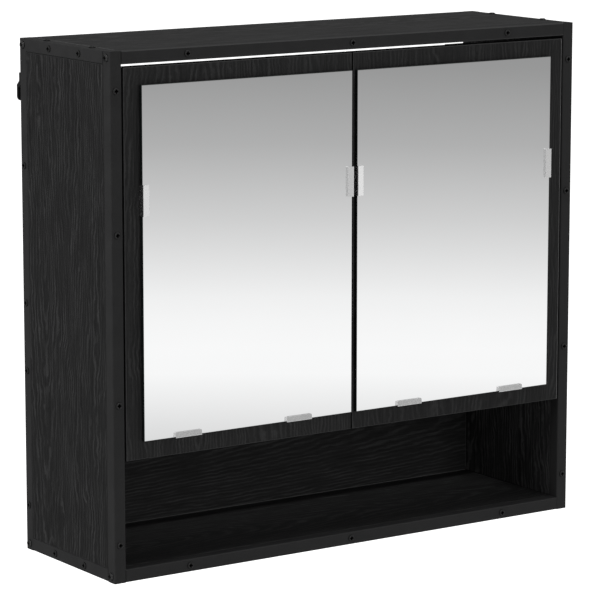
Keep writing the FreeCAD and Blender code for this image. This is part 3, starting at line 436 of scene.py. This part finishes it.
def raw_beech():
    """Raw beech with its short brown flecks."""
    s = Surface("raw_beech")
    parts = s.split(s.place).values()
    fibre = s.drawn(parts, (40.0, 900.0, 900.0), detail=3.0, roughness=0.6)
    flecks = s.span(s.drawn(parts, (300.0, 1800.0, 1800.0), detail=1.0), 0.60, 0.68)
    return s.finish({
        "Base Color": s.blend(flecks, s.blend(fibre, *BEECH), BEECH_FLECK),
        "Roughness": s.span(fibre, 0.3, 0.7, 0.55, 0.7),
        "Normal": s.bump(fibre, strength=0.3, distance=0.0001),
    })


# ------------------------------------------------------------------------------ what wears what

def nodes_named(name):
    """The CAD nodes of that name. One that ends with * stands for all that start so."""
    if name.endswith("*"):
        found = [node for node in NODES if node.startswith(name[:-1])]
    else:
        found = [node for node in NODES if node == name]
    if not found:
        raise SystemExit(f"no CAD node is named {name}")
    return found


def paint(material, *names):
    """Give whole CAD nodes one material."""
    for name in names:
        for node in nodes_named(name):
            mesh = NODES[node].data
            mesh.materials.clear()
            mesh.materials.append(material)


def paint_frame():
    coat = powder_coat("frame_powder_coat", FRAME_COAT)
    paint(coat, "front_post_*", "rear_post_*", "side_rail_*", "post_caps")
    paint(coat, "front_rail_top", "rear_rail_*")
    # The low rail's painted edge highlight is kept faint, as the rail sits in the doors' shade.
    paint(powder_coat("low_rail_powder_coat", FRAME_COAT, painted_edge_highlight=0.12), "front_rail_bottom")
    paint(powder_coat("hanger_coat", HANGER_COAT), "hanger_left", "hanger_right")


def paint_boards():
    """Each board has a heart and a lean of its own, so that no two show the same grain."""
    boards = {
        "side_panel_left": black_oak("oak_side_left", "zyx", (-0.055, 0.335), 0.10, edge=SOFT_EDGE),
        "side_panel_right": black_oak(
            "oak_side_right", "zyx", (0.110, -0.420), -0.05,
            tones=DEEP_OAK, edge=SOFT_EDGE, fades=RIGHT_SIDE_PAINTED_LIGHT,
        ),
        "door_left": black_oak("oak_door_left", "zxy", (-0.210, 0.250), 0.12, edge=DOOR_PAINTED_EDGE_HIGHLIGHT),
        "door_right": black_oak(
            "oak_door_right", "zxy", (0.130, 0.235), -0.11,
            tones=RIGHT_DOOR_OAK_PAINTED_DARKER, edge=DOOR_PAINTED_EDGE_HIGHLIGHT, right_edge=DOOR_RIGHT_PAINTED_HIGHLIGHT,
        ),
        "back_board_lower": black_oak(
            "oak_back_lower", "xzy", (-0.430, 0.060), 0.07,
            tones=NICHE_OAK_PAINTED_PALER, edge=NICHE_PAINTED_EDGE_HIGHLIGHT, ring_width=0.0038, wild=0.45,
        ),
        "back_board_upper": black_oak("oak_back_upper", "xzy", (-0.120, 0.050), -0.08),
        "bottom_panel": black_oak(
            "oak_bottom", "xyz", (-0.130, 0.560), 0.08,
            tones=NICHE_OAK_PAINTED_PALER, edge=NICHE_PAINTED_EDGE_HIGHLIGHT, bare="y", fades=FLOOR_PAINTED_LIGHT_AND_SHADE,
            ring_width=0.0042, wild=0.5,
        ),
        "top_panel": black_oak("oak_top", "xyz", (-0.070, -0.020), -0.07, tones=TOP_OAK_PAINTED_PALER, bare="y"),
        "divider_shelf": black_oak("oak_divider", "xyz", (-0.090, 0.430), 0.09),
        "inner_shelf": black_oak("oak_shelf", "xyz", (-0.160, 0.210), -0.06),
    }
    for node, material in boards.items():
        paint(material, node)


def paint_fittings():
    paint(black_steel("black_oxide", BLACK_OXIDE, (0.40, 0.50), 0.2), "screws_*", "hanger_screws")
    paint(black_steel("black_bolt", BLACK_BOLT, (0.11, 0.16), 1.0), "corner_bolts")
    paint(silvered_glass(), "mirror_left", "mirror_right")
    paint(satin_clip(), "mirror_clip_*")
    nickel = plated("nickel_plate", NICKEL, (0.22, 0.36))
    paint(nickel, "hinge_cups_*", "hinge_pins_*", "hinge_arms_*", "hinge_bases_*")
    paint(nickel, "cup_screws_*", "base_screws_*", "clip_screws_*")
    paint(plated("zinc_plate", ZINC, (0.30, 0.46)), "shelf_pins", "rail_inserts")
    paint(raw_beech(), "divider_dowels")


# --------------------------------------------------------------------------------------- studio

def make_floor(low):
    """A pale floor. Camera rays see it lit up to white, with the cabinet's shadow kept, and it
    lets glossy rays through to the studio's surroundings."""
    bpy.ops.mesh.primitive_plane_add(size=FLOOR_SIZE, location=(0, 0, low.z - FLOOR_BELOW))
    floor = bpy.context.object
    floor.name = "floor"
    material = bpy.data.materials.new("pale_floor")
    s = Nodes(material)
    rays = s.add("LightPath").outputs
    matt = s.add("BsdfDiffuse", {"Color": rgba(FLOOR_TONE)}).outputs[0]
    glow = s.add("Emission", {"Strength": rays["Is Camera Ray"]}).outputs[0]
    lit = s.add("AddShader", {0: matt, 1: glow}).outputs[0]
    clear = s.add("BsdfTransparent").outputs[0]
    skin = s.add("MixShader", {0: rays["Is Glossy Ray"], 1: lit, 2: clear}).outputs[0]
    s.add("OutputMaterial", {0: skin})
    floor.data.materials.append(material)


def make_world():
    """White to the camera, an even dome for matt surfaces, and a graded surround for glossy ones."""
    world = bpy.data.worlds.new("studio")
    bpy.context.scene.world = world
    s = Nodes(world)
    direction = s.split(s.add("TexCoord").outputs["Generated"])
    surround = s.times(
        s.curve(direction["z"], BY_HEIGHT),
        s.curve(direction["x"], BY_SIDE),
        s.curve(direction["y"], BY_DEPTH),
    )
    rays = s.add("LightPath").outputs
    strength = s.plus(
        rays["Is Camera Ray"],
        s.times(rays["Is Diffuse Ray"], DOME_STRENGTH),
        s.times(rays["Is Glossy Ray"], surround),
        rays["Is Transmission Ray"],
    )
    background = s.add("Background", {"Color": rgba(1.0), "Strength": strength})
    s.add("OutputWorld", {0: background.outputs[0]})


def make_lamp(name, place, aim, size, power, mirrored):
    """A square soft box that faces a point. Only a mirrored one shows up in glossy surfaces."""
    data = bpy.data.lights.new(name, "AREA")
    data.shape = "SQUARE"
    data.size = size
    data.energy = power
    lamp = bpy.data.objects.new(name, data)
    lamp.location = place
    lamp.visible_glossy = mirrored
    lamp.rotation_euler = (aim - lamp.location).to_track_quat("-Z", "Y").to_euler()
    bpy.context.scene.collection.objects.link(lamp)


def make_camera(middle):
    azimuth = math.radians(CAMERA_AZIMUTH)
    elevation = math.radians(CAMERA_ELEVATION)
    away = Vector((
        math.sin(azimuth) * math.cos(elevation),
        -math.cos(azimuth) * math.cos(elevation),
        math.sin(elevation),
    ))
    data = bpy.data.cameras.new("camera")
    data.lens = LENS
    camera = bpy.data.objects.new("camera", data)
    camera.location = middle + AIM_OFFSET + away * CAMERA_DISTANCE
    camera.rotation_euler = away.to_track_quat("Z", "Y").to_euler()
    bpy.context.scene.collection.objects.link(camera)
    bpy.context.scene.camera = camera


paint_frame()
paint_boards()
paint_fittings()
low, high = cad_box
middle = (low + high) / 2
make_floor(low)
make_world()
for name, (offset, size, power, mirrored) in LAMPS.items():
    make_lamp(name, middle + Vector(offset), middle, size, power, mirrored)
make_camera(middle)
bpy.context.scene.view_settings.view_transform = "Standard"
